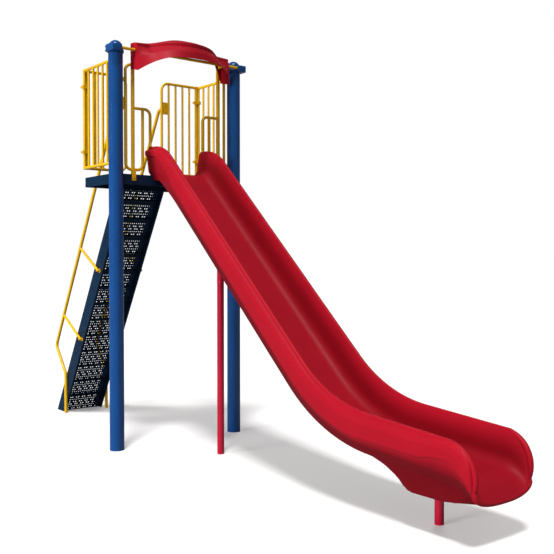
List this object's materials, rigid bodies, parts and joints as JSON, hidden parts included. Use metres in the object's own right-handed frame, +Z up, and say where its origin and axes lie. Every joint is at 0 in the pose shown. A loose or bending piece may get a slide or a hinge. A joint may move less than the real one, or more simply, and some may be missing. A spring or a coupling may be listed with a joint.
{
  "type": "straight playground slide",
  "caption": "Free-standing straight playground slide: open-topped chute from a railed deck on two posts, with a hood over the entrance and a steep perforated stair with handrails behind.",
  "frame": {"origin": "at ground level, below the middle of the part's length and width", "axes": "+X along the chute towards its exit, +Y to the left of somebody sliding down, +Z up"},
  "size_m": [5.828, 1.43, 3.648],
  "materials": {
    "blue_steel": "semi-gloss powder coat",
    "yellow_steel": "semi-gloss powder coat",
    "navy_coated_steel": "thick matte plastic coating on sheet steel",
    "red_plastic": "smooth rotationally moulded plastic, slight sheen",
    "red_steel": "semi-gloss powder coat",
    "zinc_fasteners": "plated"
  },
  "bodies": {
    "root": {"right_post": "blue_steel", "left_post": "blue_steel", "right_post_cap": "blue_steel", "left_post_cap": "blue_steel", "right_post_collar": "blue_steel", "left_post_collar": "blue_steel", "hood_bar": "yellow_steel", "hood": "red_plastic", "hood_brackets": "yellow_steel", "right_enclosure": "yellow_steel", "left_enclosure": "yellow_steel", "deck": "navy_coated_steel", "deck_hangers": "navy_coated_steel", "right_side_guardrail": "yellow_steel", "left_side_guardrail": "yellow_steel", "right_rear_guardrail": "yellow_steel", "left_rear_guardrail": "yellow_steel", "corner_clamps": "yellow_steel", "chute": "red_plastic", "mid_support": "red_steel", "mid_support_saddle": "red_steel", "exit_support": "red_steel", "right_stringer": "navy_coated_steel", "left_stringer": "navy_coated_steel", "step_01": "navy_coated_steel", "step_02": "navy_coated_steel", "step_03": "navy_coated_steel", "step_04": "navy_coated_steel", "step_05": "navy_coated_steel", "step_06": "navy_coated_steel", "step_07": "navy_coated_steel", "step_08": "navy_coated_steel", "step_09": "navy_coated_steel", "step_10": "navy_coated_steel", "step_11": "navy_coated_steel", "step_12": "navy_coated_steel", "step_13": "navy_coated_steel", "step_14": "navy_coated_steel", "right_handrail": "yellow_steel", "left_handrail": "yellow_steel", "collar_bolts": "blue_steel", "hanger_bolts": "navy_coated_steel", "hood_bolts": "zinc_fasteners", "enclosure_bolts": "yellow_steel", "chute_bolts": "zinc_fasteners", "saddle_bolts": "zinc_fasteners", "guardrail_bolts": "yellow_steel", "clamp_bolts": "yellow_steel", "step_bolts": "navy_coated_steel", "handrail_bolts": "yellow_steel"}
  },
  "joints": []
}
